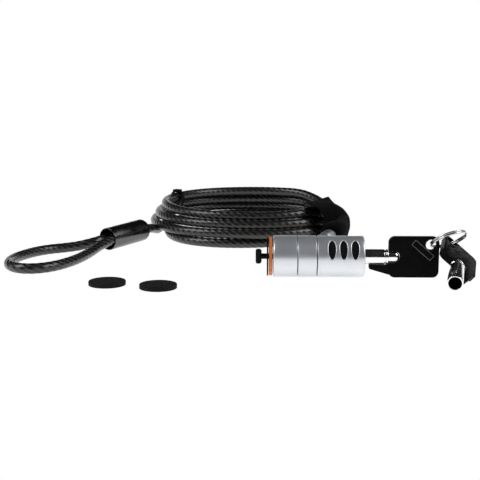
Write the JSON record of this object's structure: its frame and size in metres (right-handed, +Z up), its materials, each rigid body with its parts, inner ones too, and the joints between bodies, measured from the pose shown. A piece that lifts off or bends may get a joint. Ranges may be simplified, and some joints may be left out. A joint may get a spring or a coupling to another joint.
{
  "type": "laptop cable lock",
  "caption": "Keyed T-bar laptop lock on a swivelling collar with a coiled steel cable, crimped eye loop, tubular keys on a split ring and adhesive rubber pads.",
  "frame": {"origin": "on the table, at the middle of the footprint of the lock head, keys and pads (the free cable and what is on it are left out)", "axes": "+X along the lock axis from the T-bar to the keys, +Y from the lock towards the coil, +Z up from the table"},
  "size_m": [0.2357, 0.224, 0.0244],
  "materials": {
    "satin_silver": "satin, fine bead-blasted",
    "dark_metal": "black oxide",
    "nose_plastic": "satin moulded",
    "copper_rubber": "matt",
    "grip_rubber": "matt, finely ribbed",
    "brass": "machined",
    "steel": "machined",
    "zinc": "satin plated",
    "chrome": "polished",
    "key_plastic": "fine moulded grain",
    "cable_jacket": "smoke vinyl over steel strands",
    "sleeve_vinyl": "gloss",
    "strap_fabric": "brushed hook-and-loop",
    "tie_plastic": "satin",
    "pad_rubber": "matt"
  },
  "bodies": {
    "root": {"cable_lead": "cable_jacket", "cable_loop": "cable_jacket", "cable_coil": "cable_jacket", "cable_tail": "cable_jacket", "ferrule_sleeve": "sleeve_vinyl", "crimp_ferrule": "zinc", "strap": "strap_fabric", "cable_tie": "tie_plastic", "cable_terminal": "zinc", "pad_1": "pad_rubber", "pad_2": "pad_rubber"},
    "collar": {"swivel_band": "satin_silver", "anchor_pin": "steel"},
    "housing": {"nose_ring": "nose_plastic", "cushion_ring": "copper_rubber", "front_shell": "satin_silver", "rear_shell": "satin_silver", "grip_1": "grip_rubber", "grip_2": "grip_rubber", "grip_3": "grip_rubber", "grip_4": "grip_rubber", "grip_5": "grip_rubber", "grip_6": "grip_rubber", "lock_case": "dark_metal", "driver_block": "brass", "pin_spring_1": "steel", "pin_spring_2": "steel", "pin_spring_3": "steel", "pin_spring_4": "steel", "driver_pin_1": "steel", "driver_pin_2": "steel", "driver_pin_3": "steel", "driver_pin_4": "steel"},
    "plug": {"rotor": "brass", "spindle_pin": "steel", "centre_post": "steel", "t_bar": "dark_metal", "key_pin_1": "brass", "key_pin_2": "brass", "key_pin_3": "brass", "key_pin_4": "brass"},
    "key_1": {"key_1_barrel": "chrome", "key_1_bow": "key_plastic"},
    "ring": {"key_ring": "chrome"},
    "key_2": {"key_2_barrel": "chrome", "key_2_bow": "key_plastic"}
  },
  "joints": [
    {"name": "anchor_pivot", "type": "hinge", "parent": "root", "child": "collar", "pos_m": [0.00973, 0.0227, 0.01], "axis": [0, 0, 1], "range_deg": [-100, 40]},
    {"name": "collar_swivel", "type": "hinge", "parent": "collar", "child": "housing", "pos_m": [0, 0.0085, 0.01], "axis": [-1, 0, 0], "continuous": true},
    {"name": "key_turn", "type": "hinge", "parent": "housing", "child": "plug", "pos_m": [0, 0.0085, 0.01], "axis": [-1, 0, 0], "range_deg": [0, 90]},
    {"name": "key_pull", "type": "slide", "parent": "plug", "child": "key_1", "axis": [1, 0, 0], "range_m": [0, 0.02]},
    {"name": "ring_swing", "type": "hinge", "parent": "key_1", "child": "ring", "pos_m": [0.06893, 0.0085, 0.01605], "axis": [0, 1, 0], "range_deg": [-60, 5]},
    {"name": "key_2_swing", "type": "hinge", "parent": "ring", "child": "key_2", "pos_m": [0.07951, 0.01672, 0.0148], "axis": [0, 0, 1], "range_deg": [0, 50]}
  ]
}
